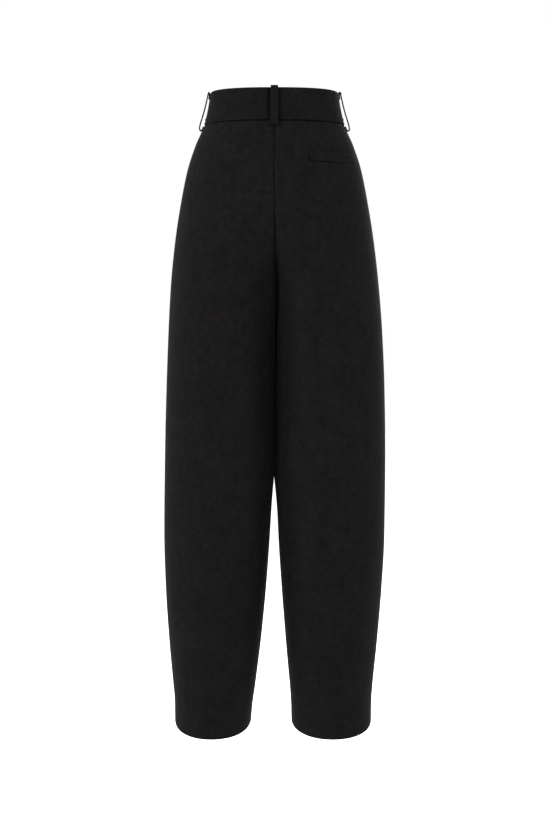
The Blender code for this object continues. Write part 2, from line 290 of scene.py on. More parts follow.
# A belt loop's middle line: how far it stands off when sewn flat, its share of the slack, its drop
LOOP_LINE = (
    (2.05, 0.00, 9.0),
    (2.05, 0.00, 3.5),
    (2.35, 0.00, -0.8),
    (3.40, 0.00, -2.2),
    (4.25, 0.02, -0.8),
    (4.35, 0.10, 3.0),
    (4.25, 0.40, 18.0),
    (4.15, 0.74, 34.0),
    (4.10, 1.00, 48.0),
    (4.05, 0.95, 55.0),
    (3.90, 0.60, 60.0),
    (2.90, 0.20, 62.2),
    (1.75, 0.00, 61.0),
    (1.25, 0.00, 57.5),
    (1.25, 0.00, 54.3),
)
LOOP_SLACK = 3.4
FRONT_LOOP_SLACK = 5.4

# Soft creases. A place is 0 where the leg leaves the other leg and 1 at the side seam. A crease
# rises and fades over this share of its length.
CREASE_FADE = 0.4
CREASE_COLUMNS = ("top_place", "bottom_place", "top_drop", "bottom_drop", "half_width", "rise")
CREASES = {
    ("left", "back"): (
        (-0.01, -0.01, 160, 660, 40, -10.5),
        (0.03, 0.03, 190, 680, 12, 4.2),
        (0.08, 0.27, 185, 680, 23, -6.5),
        (0.30, 0.24, 235, 560, 20, 0.8),
        (0.50, 0.42, 330, 640, 30, -1.2),
        (0.74, 0.66, 560, 990, 30, -1.5),
        (0.36, 0.42, 690, 1000, 26, -1.1),
        (0.60, 0.10, 262, 330, 16, -0.7),
    ),
    ("right", "back"): (
        (0.0, 0.0, 190, 720, 30, -6.5),
        (0.10, 0.05, 215, 420, 13, -1.0),
        (0.44, 0.38, 300, 620, 30, -1.1),
        (0.22, 0.30, 620, 960, 26, -1.2),
        (0.80, 0.76, 690, 1010, 26, -1.3),
        (0.62, 0.56, 150, 330, 34, -0.8),
        (0.52, 0.10, 275, 345, 15, -0.6),
    ),
    ("left", "front"): (
        (0.10, 0.06, 190, 430, 15, -2.4),
        (0.55, 0.07, 205, 300, 14, -1.1),
        (0.42, 0.38, 330, 700, 28, -1.2),
        (0.62, 0.56, 640, 1000, 26, -1.4),
        (0.26, 0.34, 720, 990, 24, -1.0),
    ),
    ("right", "front"): (
        (0.12, 0.07, 205, 460, 16, -2.1),
        (0.48, 0.07, 228, 306, 13, -1.0),
        (0.50, 0.44, 350, 660, 30, -1.3),
        (0.34, 0.40, 690, 1005, 26, -1.2),
        (0.72, 0.68, 560, 900, 26, -1.0),
    ),
}


def columns_of(names, rows):
    """A table's rows as one array for each named column."""
    return dict(zip(names, np.array(rows, float).T))


SECTION = columns_of(SECTION_COLUMNS, SECTIONS)
PARTING = columns_of(PARTING_COLUMNS, PARTINGS)
INSEAM = columns_of(INSEAM_COLUMNS, INSEAMS)
LEAN = columns_of(LEAN_COLUMNS, LEANS)


# The shape of the cloth


def read(table, column, drop):
    """A column's value at any drop, on a smooth curve that never overshoots the table's rows."""
    at, value = table["drop"], table[column]
    drop = np.clip(np.asarray(drop, float), at[0], at[-1])
    step = np.diff(at)
    rise = np.diff(value) / step
    slope = np.zeros_like(value)
    same_way = rise[:-1] * rise[1:] > 0
    weight_before = 2 * step[1:] + step[:-1]
    weight_after = step[1:] + 2 * step[:-1]
    before = np.where(same_way, rise[:-1], 1.0)
    after = np.where(same_way, rise[1:], 1.0)
    mean = (weight_before + weight_after) / (weight_before / before + weight_after / after)
    slope[1:-1] = np.where(same_way, mean, 0.0)
    slope[0], slope[-1] = rise[0], rise[-1]
    i = np.clip(np.searchsorted(at, drop, side="right") - 1, 0, len(step) - 1)
    t = (drop - at[i]) / step[i]
    start = (1 + 2 * t) * (1 - t) ** 2 * value[i] + t * (1 - t) ** 2 * step[i] * slope[i]
    end = t * t * (3 - 2 * t) * value[i + 1] - t * t * (1 - t) * step[i] * slope[i + 1]
    return start + end


def signed_power(value, power):
    """A power of the value's size, with the value's own sign."""
    return np.sign(value) * np.abs(value) ** power


def smooth_step(value):
    """0 below 0, 1 above 1, and a smooth rise between."""
    t = np.clip(value, 0.0, 1.0)
    return t * t * (3 - 2 * t)


def ring_extent(side, drop):
    """The middle and half the width of a leg's ring, before it is pressed flat by the other."""
    side_name = SIDE_NAMES[side]
    outer = read(SECTION, side_name, drop)
    share = read(PARTING, "share", drop)
    inner = read(INSEAM, side_name, drop) - outer * (1 - share) / (1 + share)
    return (outer + inner) / 2, (outer - inner) / 2


def body_point(side, drop, angle):
    """A point of the cloth's outer face, in millimetres, with the origin at the waist."""
    middle, half_width = ring_extent(side, drop)
    turn = np.radians(angle)
    at_back = np.sin(turn) >= 0
    depth = np.where(at_back, read(SECTION, "back", drop), read(SECTION, "front", drop))
    square = np.where(
        at_back, read(SECTION, "back_square", drop), read(SECTION, "front_square", drop)
    )
    along = depth * signed_power(np.sin(turn), 2 / square)
    past_middle = middle - half_width * signed_power(np.cos(turn), 2 / square) - SEAM_GAP / 2
    opening = smooth_step((drop - CLEFT_DROP) / (FORK_DROP - CLEFT_DROP))
    softness = SEAM_ROUNDING + (CLEFT_ROUNDING - SEAM_ROUNDING) * opening
    softness = softness * smooth_step((drop - TURN_IN_DROP) / ROUNDING_FADE)
    pressed = (past_middle + np.sqrt(past_middle**2 + softness**2)) / 2
    innermost = middle - half_width - SEAM_GAP / 2
    least = (innermost + np.sqrt(innermost**2 + softness**2)) / 2
    excess = least - np.maximum(innermost, 0)
    pressed = pressed - excess * np.exp(-(pressed - least) / ROUNDING_FADE)
    across = np.where(softness > 0, pressed, past_middle) + SEAM_GAP / 2
    facing_inwards = np.exp(-(across - SEAM_GAP / 2) / LEAN_REACH)
    lean = read(LEAN, "shift", drop) + read(LEAN, "slant", drop) * along
    dip = smooth_step((drop - HEM_DIP_START) / (HEM_DROP - HEM_DIP_START))
    dip = dip * np.where(at_back, HEM_DIP_BACK, HEM_DIP_FRONT) * np.sin(turn)
    x = side * across + lean * facing_inwards
    z = BAND_DEPTH / 2 - drop - dip
    return np.stack(np.broadcast_arrays(x, along, z), axis=-1)


def body_normal(side, drop, angle):
    """The direction that the cloth's outer face looks in."""
    small_turn, small_drop = 0.05, 0.5
    round_it = body_point(side, drop, angle + small_turn)
    round_it = round_it - body_point(side, drop, angle - small_turn)
    down_it = body_point(side, drop + small_drop, angle)
    down_it = down_it - body_point(side, drop - small_drop, angle)
    normal = side * np.cross(round_it, down_it)
    return normal / np.linalg.norm(normal, axis=-1, keepdims=True)


def seam_angles(side, drop, facing):
    """The ring angles, from the inner side, of the centre seam or inseam and of the edge where the
    leg leaves the other one."""
    middle, half_width = ring_extent(side, drop)
    square = read(SECTION, facing + "_square", drop)
    reach = float((middle - SEAM_GAP / 2) / half_width)
    edge = math.acos(min(1.0, signed_power(reach, square / 2)))
    above_fork = np.clip((FORK_DROP - drop) / (FORK_DROP - TURN_IN_DROP), 0.0, 1.0)
    share = math.sqrt(1 - (1 - above_fork) ** 3)
    seam = math.asin(min(1.0, share ** (square / 2) * math.sin(edge)))
    if above_fork == 1.0:
        seam = edge
    return math.degrees(seam), math.degrees(edge)


def lengths_along(points):
    """How far along a line of points each one lies from the first."""
    return np.concatenate([[0.0], np.cumsum(np.linalg.norm(np.diff(points, axis=0), axis=1))])


def cloth_length(side, drop, angles):
    """How far along the cloth each ring angle lies from the first one."""
    return lengths_along(body_point(side, drop, angles))


def across_panel(side, drop, facing, count):
    """Ring angles from a panel's inner seam to its side seam, how far along the cloth each lies, and
    how far along it the leg leaves the other one."""
    seam, edge = seam_angles(side, drop, facing)
    fine = np.linspace(seam, SIDE_ANGLE, count)
    if facing == "front":
        fine = WHOLE_TURN - fine
        edge = WHOLE_TURN - edge
    along = cloth_length(side, drop, fine)
    order = np.argsort(fine)
    return fine, along, float(np.interp(edge, fine[order], along[order]))


def angle_at_x(x, drop, facing):
    """The ring angle, on the side's back or front quarter, at that distance from the middle."""
    fine = np.linspace(seam_angles(RIGHT, drop, facing)[1], SIDE_ANGLE, 600)
    if facing == "front":
        fine = WHOLE_TURN - fine
    return float(np.interp(x, -body_point(RIGHT, drop, fine)[:, 0], fine))


def edge_spacing(length, count):
    """Places along a length, close together at both ends so that the edges can roll."""
    between = np.linspace(6.0, length - 6.0, count - 6)
    return np.concatenate([EDGE_PLACES, between, length - EDGE_PLACES[::-1]])


def edge_roll(distance, depth=0.55, reach=1.2):
    """How far a sewn edge turns in, by the distance from the edge."""
    return -depth * np.exp(-((distance / reach) ** 2))


def ridge(distance, height, half_width):
    """A soft ridge of that height, or a groove where the height is negative."""
    return height * np.exp(-((distance / half_width) ** 2))


def marked(distance, mark):
    """The ridge or dent that a mark leaves, by the distance from the edge it belongs to."""
    place, rise, half_width = mark
    return ridge(distance - place, rise, half_width)


def flat_places(across, down):
    """Each point's place on the flat cloth."""
    return np.stack(np.broadcast_arrays(across, down), axis=-1)


# Building cloth


def cloth_wall(name, outside, inside, weave, material):
    """One closed piece of cloth between two grids of points in millimetres. weave is each point's
    place on the flat cloth, in millimetres, for the pattern of the cloth."""
    rows, columns = outside.shape[:2]
    faces = bmesh.new()
    bmesh.ops.create_grid(faces, x_segments=columns - 1, y_segments=rows - 1, size=0.5)
    place = faces.verts.layers.int.new("place")
    for vert in faces.verts:
        column = round((vert.co.x + 0.5) * (columns - 1))
        row = round((0.5 - vert.co.y) * (rows - 1))
        vert[place] = row * columns + column
    grown = bmesh.ops.extrude_face_region(faces, geom=faces.faces[:])
    outer_verts = {item for item in grown["geom"] if isinstance(item, bmesh.types.BMVert)}
    outer_points = outside.reshape(-1, 3) * MM
    inner_points = inside.reshape(-1, 3) * MM
    for vert in faces.verts:
        points = outer_points if vert in outer_verts else inner_points
        vert.co = points[vert[place]]
    flat_place = weave.reshape(-1, 2) * MM
    pattern = faces.loops.layers.uv.new("weave")
    for face in faces.faces:
        for loop in face.loops:
            loop[pattern].uv = flat_place[loop.vert[place]]
    bmesh.ops.recalc_face_normals(faces, faces=faces.faces[:])
    if faces.calc_volume(signed=True) < 0:
        bmesh.ops.reverse_faces(faces, faces=faces.faces[:])
    faces.verts.layers.int.remove(place)
    piece = finished(name, faces, material)
    return piece


def finished(name, faces, material):
    """The bmesh as a smooth object at the origin, riding on the trousers."""
    mesh = bpy.data.meshes.new(name)
    faces.to_mesh(mesh)
    faces.free()
    mesh.materials.append(material)
    mesh.shade_smooth()
    mesh.set_sharp_from_angle(angle=math.radians(SHARP_TURN))
    piece = bpy.data.objects.new(name, mesh)
    bpy.context.scene.collection.objects.link(piece)
    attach(piece, "root")
    return piece


def crease_relief(side_name, facing, drop, place, whole_length):
    """The rise of the soft creases on a panel, in millimetres."""
    relief = np.zeros(np.broadcast(drop, place).shape)
    for row in CREASES[(side_name, facing)]:
        crease = dict(zip(CREASE_COLUMNS, row))
        share = (drop - crease["top_drop"]) / (crease["bottom_drop"] - crease["top_drop"])
        middle = crease["top_place"] + (crease["bottom_place"] - crease["top_place"]) * share
        window = smooth_step(share / CREASE_FADE) * smooth_step((1 - share) / CREASE_FADE)
        distance = (place - middle) * whole_length
        relief = relief + ridge(distance, crease["rise"] * window, crease["half_width"])
    return relief


def body_relief(side_name, facing, drop, past_edge, whole_length):
    """The soft creases, with both sides meeting at one height along the centre seam."""
    relief = crease_relief(side_name, facing, drop, past_edge / whole_length, whole_length)
    at_seam = {
        name: crease_relief(name, facing, drop, 0.0, whole_length) for name in ("left", "right")
    }
    to_middle = (at_seam["left"] + at_seam["right"]) / 2 - at_seam[side_name]
    near_seam = ridge(np.maximum(past_edge, 0), 1.0, SEAM_BLEND)
    above_fork = smooth_step((FORK_DROP - drop) / 60)
    return relief + to_middle * near_seam * above_fork


def seam_roll(past_edge, drop):
    """How far a panel turns in at the centre seam and on into the top of the cleft."""
    roll = edge_roll(np.maximum(past_edge, 0), SEAM_ROLL_DEPTH, SEAM_ROLL_REACH)
    return roll * smooth_step((SEAM_ROLL_END - drop) / SEAM_ROLL_FADE)


def outwards_of(facing, drop, points, normals, past_edge):
    """The way that relief moves the cloth: along its normal, but less and less sideways towards the
    middle, and straight out to the back or the front where the legs touch."""
    freely = smooth_step((np.abs(points[:, :, :1]) - STILL_MIDDLE) / FREE_AFTER)
    moving = normals * np.concatenate([freely, np.ones_like(freely), np.ones_like(freely)], axis=2)
    touching = ridge(np.maximum(past_edge, 0), 1.0, TOUCHING_REACH)
    touching = touching * smooth_step((TOUCHING_END - drop) / TOUCHING_FADE)
    touching = touching[:, :, None]
    return moving * (1 - touching) + OUTWARDS[facing] * touching


def panel_drops():
    """The rows of a panel, close together under the waistband, at the fork and at the hem."""
    return np.concatenate(
        [
            (46.0, 49.0, 51.4, 52.4, 53.2, 54.1, 55.1, 56.3, 58.0),
            np.linspace(61, 98, 10),
            np.linspace(100, 130, 27),
            np.linspace(134, 253, 28),
            np.linspace(258, 296, 12),
            (298.5, 300.6, 302.3, 303.6, 304.5, 304.95),
            (305.4, 307, 310, 314, 319),
            np.linspace(325, 1008, 90),
            (1012.0, 1015.0, 1017.0, 1019.0, 1022.0),
            np.linspace(1027, 1053, 5),
            (1056.5, 1058.6, 1059.6, 1060.0),
        ]
    )


def leg_panel(side, facing, material):
    """A front or a back, with its creases, pressed seams and turned-up hem."""
    side_name = SIDE_NAMES[side]
    drops = panel_drops()
    angle_rows, length_rows, whole_rows = [], [], []
    for drop in drops:
        fine, along, edge = across_panel(side, drop, facing, 900)
        down_leg = smooth_step((drop - LEG_REACH_START) / LEG_REACH_GROWTH)
        inner_end = max(edge, SEAT_REACH + (LEG_REACH - SEAT_REACH) * down_leg)
        inner = np.concatenate([(0.0, 0.6, 1.8), np.linspace(4.0, inner_end, INNER_COLUMNS - 3)])
        outer = np.linspace(0, 1, OUTER_COLUMNS - 3) ** 1.3
        outer = inner_end + (along[-1] - 5.0 - inner_end) * outer
        lengths = np.concatenate([inner, outer[1:], along[-1] - EDGE_PLACES[::-1]])
        angle_rows.append(np.interp(lengths, along, fine))
        length_rows.append(lengths)
        whole_rows.append((edge, along[-1]))
    angles, lengths = np.array(angle_rows), np.array(length_rows)
    edges, wholes = (np.array(column)[:, None] for column in zip(*whole_rows))
    drop = drops[:, None]
    points, normals = body_point(side, drop, angles), body_normal(side, drop, angles)

    from_seam, from_side = lengths, wholes - lengths
    creases = body_relief(side_name, facing, drop, lengths - edges, wholes - edges)
    creases = creases + seam_roll(lengths - edges, drop)
    facing_out = np.abs(np.sin(np.radians(angles)))
    tuck = edge_roll(np.maximum(drop - BAND_DEPTH - 0.4, 0), TUCK_DEPTH, TUCK_REACH)
    tuck = tuck * (LEAST_TUCK + (1 - LEAST_TUCK) * facing_out)
    relief = creases + edge_roll(from_side) + tuck
    relief += edge_roll(from_seam) * smooth_step((drop - OPEN_INSEAM_DROP) / OPEN_INSEAM_FADE)
    relief += marked(from_seam, SEAM_MARK) + marked(from_side, SIDE_MARK)
    relief += marked(drop - BAND_DEPTH, UNDER_BAND_MARK)
    relief += marked(drop - HEM_FOLD_DROP, HEM_MARK)
    if side == RIGHT and facing == "back":
        relief += welt_bed(points, drop)
    moving = outwards_of(facing, drop, points, normals, lengths - edges)
    outside = points + moving * relief[:, :, None]
    slit = cleft_slit(facing, drop, lengths - edges, points)
    outside[:, :, 1] += slit

    hem_share = smooth_step((drop - HEM_FOLD_DROP + 2) / 5)
    thickness = CLOTH + (HEM_CLOTH - CLOTH) * hem_share
    hem_roll = -edge_roll(HEM_DROP - drop, 0.9, 1.3)
    outside = outside - normals * hem_roll[:, :, None]
    inside = points + moving * (creases + tuck)[:, :, None]
    inside = inside + normals * (hem_roll - thickness)[:, :, None]
    inside[:, :, 1] += slit
    weave = flat_places(from_side, drop)
    piece = cloth_wall(
        f"{facing}_{side_name}_cloth",
        outside,
        inside,
        weave,
        material,
    )
    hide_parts(f"{facing}_{side_name}")
    return piece


def cleft_slit(facing, drop, past_edge, points):
    """How much deeper the narrow shadow between the thighs runs than the rings make it."""
    depth = SLIT_DEPTH[facing] * smooth_step((drop - SLIT_TOP) / SLIT_TOP_FADE)
    depth = depth * smooth_step((SLIT_END - drop) / SLIT_END_FADE)
    reach = ridge(np.maximum(past_edge, 0), 1.0, TOUCHING_REACH)
    along = points[:, :, 1]
    fade = smooth_step(np.abs(along) / SLIT_FADE_IN_DEPTH)
    return -np.sign(along) * depth * reach * fade


def welt_bed(points, drop):
    """The dents and ridges that the sewn welt leaves in the cloth round it."""
    x = -points[:, :, 0]
    past_start = smooth_step((x - WELT_INNER_X + 2) / 4)
    along_welt = past_start * smooth_step((WELT_OUTER_X + 3 - x) / 30)
    down = drop - WELT_TOP_DROP
    below = down - WELT_HEIGHT
    bed = marked(down, OVER_WELT_MARK) + marked(below, UNDER_WELT_MARK)
    bed = bed + marked(below, WELT_STITCH_MARK) + marked(below, POCKET_BAG_MARK)
    start_edge = WELT_INNER_X + WELT_END_SLANT * np.clip(down / WELT_HEIGHT, 0, 1)
    in_height = smooth_step((down + 3) / 4) * smooth_step((WELT_HEIGHT + 3 - down) / 4)
    return bed * along_welt + marked(x - start_edge, WELT_END_MARK) * in_height


def seam_allowances(facing, material):
    """The two edges of a centre seam, pressed open inside, from the waistband to the fork."""
    drops = np.concatenate([[50.0], np.linspace(54, 290, 90)])
    from_seam = np.array(ALLOWANCE_PLACES)
    columns = []
    for side, side_name in SIDE_NAMES.items():
        angle_rows, edges, wholes = [], [], []
        for drop in drops:
            fine, along, edge = across_panel(side, drop, facing, 700)
            angle_rows.append(np.interp(from_seam, along, fine))
            edges.append(edge)
            wholes.append(along[-1])
        angles = np.array(angle_rows)
        edges, wholes = np.array(edges)[:, None], np.array(wholes)[:, None]
        drop = drops[:, None]
        points, normals = body_point(side, drop, angles), body_normal(side, drop, angles)
        past_edge = from_seam - edges
        relief = body_relief(side_name, facing, drop, past_edge, wholes - edges)
        relief = (relief + seam_roll(past_edge, drop))[:, :, None]
        deep = CLOTH + 0.5 + 0.5 * smooth_step((58 - drop) / 6)
        strip = points + outwards_of(facing, drop, points, normals, past_edge) * relief
        strip = strip - normals * deep[:, :, None]
        strip[:, :, 1] += cleft_slit(facing, drop, past_edge, points)
        columns.append(strip if side == RIGHT else strip[:, ::-1])
    left, right = columns
    middle = (left[:, -1:] + right[:, :1]) / 2
    middle = middle - OUTWARDS[facing] * 1.5
    outside = np.concatenate([left[:, :-1], middle, right[:, 1:]], axis=1)
    place = np.concatenate([-from_seam[:0:-1], from_seam])
    weave = flat_places(place[None, :], drops[:, None])
    piece = cloth_wall(
        f"{facing}_seam_allowances",
        outside,
        outside - OUTWARDS[facing],
        weave,
        material,
    )
    return piece


def band_places(length):
    """Places along the waistband, close together at its ends and beside the back belt loop."""
    beside_loop = (3.8, 4.8, 5.6, 6.4, 7.2, 8.1, 9.2, 10.6, 12.4, 14.8, 18.0)
    between = np.linspace(22.0, length - 6.0, 56)
    return np.concatenate([EDGE_PLACES, beside_loop, between, length - EDGE_PLACES[::-1]])


def waistband_half(side, material):
    """Half the waistband. The left half runs on under the right half at the front."""
    side_name = SIDE_NAMES[side]
    depth_places = np.concatenate(
        [
            (0.0, 0.35, 1.1, 2.6),
            np.linspace(5.0, 40.0, 11),
            np.linspace(41.2, 49.4, 12),
            (50.2, 51.3, 51.8, BAND_DEPTH),
        ]
    )
    angle_rows, off_rows, length_rows, ends = [], [], [], []
    for drop in depth_places:
        fine = np.linspace(BACK_ANGLE - 2, FRONT_ANGLE + 45, 1500)
        along = cloth_length(side, drop, fine)
        start = np.interp(BACK_ANGLE, fine, along) + SEAM_GAP / 2
        front = np.interp(FRONT_ANGLE, fine, along)
        end = front + UNDERLAP if side == LEFT else front - SEAM_GAP / 2
        lengths = start + band_places(end - start)
        angle_rows.append(np.interp(lengths, along, fine))
        offs = np.full(lengths.shape, BAND_PROUD)
        if side == LEFT:
            share = (lengths - front + UNDERLAP_STEP) / (UNDERLAP_STEP - 1.2)
            offs = offs - (BAND_CLOTH + SEAM_GAP) * smooth_step(share)
        off_rows.append(offs)
        length_rows.append(lengths - start)
        ends.append(end - start)
    angles, offs, lengths = map(np.array, (angle_rows, off_rows, length_rows))
    ends = np.array(ends)[:, None]
    drop = depth_places[:, None]
    points, normals = body_point(side, drop, angles), body_normal(side, drop, angles)
    top_round = edge_roll(drop, 1.25, 0.9)
    foot_round = edge_roll(BAND_DEPTH - drop, 0.7, 0.7)
    relief = marked(drop, BAND_FOLD_MARK) + marked(drop, BAND_STITCH_MARK)
    beside_loop = ridge(lengths - LOOP_WIDTH / 2 - 0.6, *BAND_DENT[side])
    relief = relief + beside_loop * smooth_step((drop + 1) / 4)
    relief = relief + BAND_WAVE * np.sin(lengths / 47.0 + 0.8) * np.sin(drop / 17.0)
    relief = relief + edge_roll(lengths, 0.6) + edge_roll(ends - lengths, 0.9)
    outside = points + normals * (offs + relief + top_round + foot_round)[:, :, None]
    end_round = edge_roll(ends - lengths, 0.7)
    inside_off = offs - BAND_CLOTH - top_round - foot_round - end_round
    inside = points + normals * inside_off[:, :, None]
    weave = flat_places(lengths, drop)
    piece = cloth_wall(
        f"waistband_{side_name}_cloth",
        outside,
        inside,
        weave,
        material,
    )
    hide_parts(f"waistband_{side_name}")
    return piece


def smooth_line(points, count):
    """A smooth curve through points, as evenly spaced ones."""
    points = np.asarray(points, float)
    ends = np.vstack([2 * points[0] - points[1], points, 2 * points[-1] - points[-2]])
    fine = []
    for before, start, end, after in zip(ends, ends[1:], ends[2:], ends[3:]):
        for t in np.linspace(0, 1, 20, endpoint=False):
            straight = 2 * start + (end - before) * t
            bend = (2 * before - 5 * start + 4 * end - after) * t**2
            twist = (3 * start - before - 3 * end + after) * t**3
            fine.append(0.5 * (straight + bend + twist))
    fine = np.array(fine + [points[-1]])
    along = lengths_along(fine)
    at = np.linspace(0, along[-1], count)
    return np.stack([np.interp(at, along, column) for column in fine.T], axis=1)


def belt_loop(name, side, angle, slack, material):
    """A folded strip standing off the waistband, with rounded edges and its ends turned in."""
    line = [(off + share * slack, drop) for off, share, drop in LOOP_LINE]
    line = smooth_line(line, 110)
    off, drop = line[:, :1], line[:, 1:]
    across = body_point(side, drop, angle + 0.5) - body_point(side, drop, angle - 0.5)
    across /= np.linalg.norm(across, axis=-1, keepdims=True)
    middle = body_point(side, drop, angle) + body_normal(side, drop, angle) * off[:, :, None]
    outwards = np.cross(np.gradient(middle, axis=0), across)
    outwards /= np.linalg.norm(outwards, axis=-1, keepdims=True)
    shares = np.array([-1.0, -0.97, -0.9, -0.78, -0.6, -0.3, 0, 0.3, 0.6, 0.78, 0.9, 0.97, 1.0])
    strip = middle + across * shares[:, None] * LOOP_WIDTH / 2
    half = LOOP_CLOTH / 2 * np.sqrt(np.clip(1 - np.abs(shares) ** 9, 0.02, 1))
    crown = half + ridge(shares, 0.22, 0.35)
    stitched = ridge(np.abs(shares) - 0.74, 0.25, 0.12)
    folded = ridge(drop + 1.0, 0.6, 2.4) + ridge(drop - 61.0, 0.35, 2.0)
    outside = strip + outwards * ((crown - stitched) * (1 + folded))[:, :, None]
    inside = strip - outwards * half[None, :, None]
    run = np.linspace(0, 150, len(line))[:, None]
    weave = flat_places(shares[None, :] * LOOP_WIDTH / 2, run)
    piece = cloth_wall(
        name + "_cloth", outside, inside, weave, material
    )
    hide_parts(name)
    return piece


def pocket_welt(material):
    """The welt, with a folded top edge and a slanting inner end."""
    depth_places = np.concatenate(
        [
            (0.0, 0.4, 1.2),
            np.linspace(2.6, WELT_HEIGHT - 2.4, 10),
            (WELT_HEIGHT - 1.0, WELT_HEIGHT - 0.35, WELT_HEIGHT),
        ]
    )
    angle_rows, length_rows, ends = [], [], []
    for down in depth_places:
        drop = WELT_TOP_DROP + down
        start = angle_at_x(WELT_INNER_X + WELT_END_SLANT * down / WELT_HEIGHT, drop, "back")
        end = angle_at_x(WELT_OUTER_X, drop, "back")
        fine = np.linspace(start, end, 500)
        along = cloth_length(RIGHT, drop, fine)
        lengths = edge_spacing(along[-1], 44)
        angle_rows.append(np.interp(lengths, along, fine))
        length_rows.append(lengths)
        ends.append(along[-1])
    angles, lengths = np.array(angle_rows), np.array(length_rows)
    ends = np.array(ends)[:, None]
    down = depth_places[:, None]
    drop = WELT_TOP_DROP + down
    points, normals = body_point(RIGHT, drop, angles), body_normal(RIGHT, drop, angles)
    edge = np.minimum(np.minimum(down, WELT_HEIGHT - down), np.minimum(lengths, ends - lengths))
    rounded = edge_roll(edge, 0.75, 0.8)
    soft = 0.18 * np.sin(down / WELT_HEIGHT * math.pi)
    sink = -0.9 * smooth_step((lengths - ends + 45) / 45)
    outside = points + normals * (SEAM_GAP + TRIM_CLOTH + rounded + soft + sink)[:, :, None]
    inside = points + normals * (SEAM_GAP - TRIM_BURIED + sink * 0.5)[:, :, None]
    weave = flat_places(lengths, down)
    piece = cloth_wall(
        "pocket_welt_cloth",
        outside,
        inside,
        weave,
        material,
    )
    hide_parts("pocket_welt")
    return piece


def fly_width(share):
    """The width of the fly lap at a share of its length."""
    return FLY_WIDTH * (1 - share**FLY_CURVE) ** (1 / FLY_CURVE)


def fly_lap(material):
    """The lap of the right front, with a soft rolled edge and a curved foot."""
    top = BAND_DEPTH + SEAM_GAP
    shares = np.sin(np.linspace(0, math.pi / 2, 60)) * 0.998
    drops = top + FLY_LENGTH * shares
    angle_rows, length_rows, widths = [], [], []
    for drop, share in zip(drops, shares):
        width = fly_width(share)
        whole = np.linspace(WHOLE_TURN - seam_angles(RIGHT, drop, "front")[0], SIDE_ANGLE, 900)
        along = cloth_length(RIGHT, drop, whole)
        lengths = np.concatenate(
            [np.array([0, 0.02, 0.07]), np.linspace(0.16, 0.84, 12), np.array([0.93, 0.98, 1])]
        )
        lengths = lengths * width
        angle_rows.append(np.interp(lengths, along, whole))
        length_rows.append(lengths)
        widths.append(width)
    angles, lengths = np.array(angle_rows), np.array(length_rows)
    widths = np.array(widths)[:, None]
    drop = drops[:, None]
    points, normals = body_point(RIGHT, drop, angles), body_normal(RIGHT, drop, angles)
    to_foot = top + FLY_LENGTH - drop
    edge = np.minimum(np.minimum(lengths, widths - lengths), np.minimum(drop - top, to_foot))
    rounded = edge_roll(edge, 0.8, 0.9)
    soft = ridge(lengths, 0.5, 9.0) * smooth_step(to_foot / 30)
    blend = -0.5 * smooth_step((lengths - widths * 0.55) / (widths * 0.45 + 0.01))
    outside = points + normals * (SEAM_GAP + TRIM_CLOTH + rounded + soft + blend)[:, :, None]
    inside = points + normals * (SEAM_GAP - TRIM_BURIED)
    weave = flat_places(lengths, drop)
    piece = cloth_wall(
        "fly_lap_cloth",
        outside,
        inside,
        weave,
        material,
    )
    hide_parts("fly_lap")
    return piece


# Sewing


def stitch_row(name, points, normals, thread):
    """A row of raised stitches along points on the cloth, in millimetres."""
    points, normals = np.asarray(points), np.asarray(normals)
    along = lengths_along(points)
    faces = bmesh.new()
    for start in np.arange(STITCH_PITCH / 2, along[-1] - STITCH_LENGTH, STITCH_PITCH):
        ends = []
        for at in (start, start + STITCH_LENGTH):
            ends.append(np.array([np.interp(at, along, column) for column in points.T]))
        middle = (ends[0] + ends[1]) / 2
        up = Vector([np.interp(start, along, column) for column in normals.T]).normalized()
        run = Vector(ends[1] - ends[0]).normalized()
        side_way = up.cross(run).normalized()
        made = bmesh.ops.create_uvsphere(faces, u_segments=6, v_segments=4, radius=0.5)
        for vert in made["verts"]:
            place = run * vert.co.z * STITCH_LENGTH + side_way * vert.co.x * THREAD
            place = place + up * vert.co.y * THREAD * 0.8
            vert.co = (Vector(middle) + place) * MM
    return finished(name, faces, thread)


def fly_stitches(thread):
    """The J of stitches that holds the fly's inner edge."""
    top = BAND_DEPTH + SEAM_GAP
    shares = np.sin(np.linspace(0, math.pi / 2, 80)) * 0.999
    points, normals = [], []
    for share in shares:
        inset = 1 - FLY_STITCH_INSET / FLY_LENGTH
        drop = top + FLY_LENGTH * inset * share
        width = max(1.5, fly_width(share) - FLY_STITCH_INSET)
        whole = np.linspace(WHOLE_TURN - seam_angles(RIGHT, drop, "front")[0], SIDE_ANGLE, 500)
        angle = np.interp(width, cloth_length(RIGHT, drop, whole), whole)
        normal = body_normal(RIGHT, drop, angle)
        points.append(body_point(RIGHT, drop, angle) + normal * 1.25)
        normals.append(normal)
    row = stitch_row("fly_stitches", points, normals, thread)
    return row


# Materials


def new_node(nodes, kind, **values):
    """A shader node with its settings and the values of its sockets."""
    node = nodes.new(kind)
    for name, value in values.items():
        if hasattr(node, name):
            setattr(node, name, value)
        else:
            node.inputs[name.replace("_", " ")].default_value = value
    return node


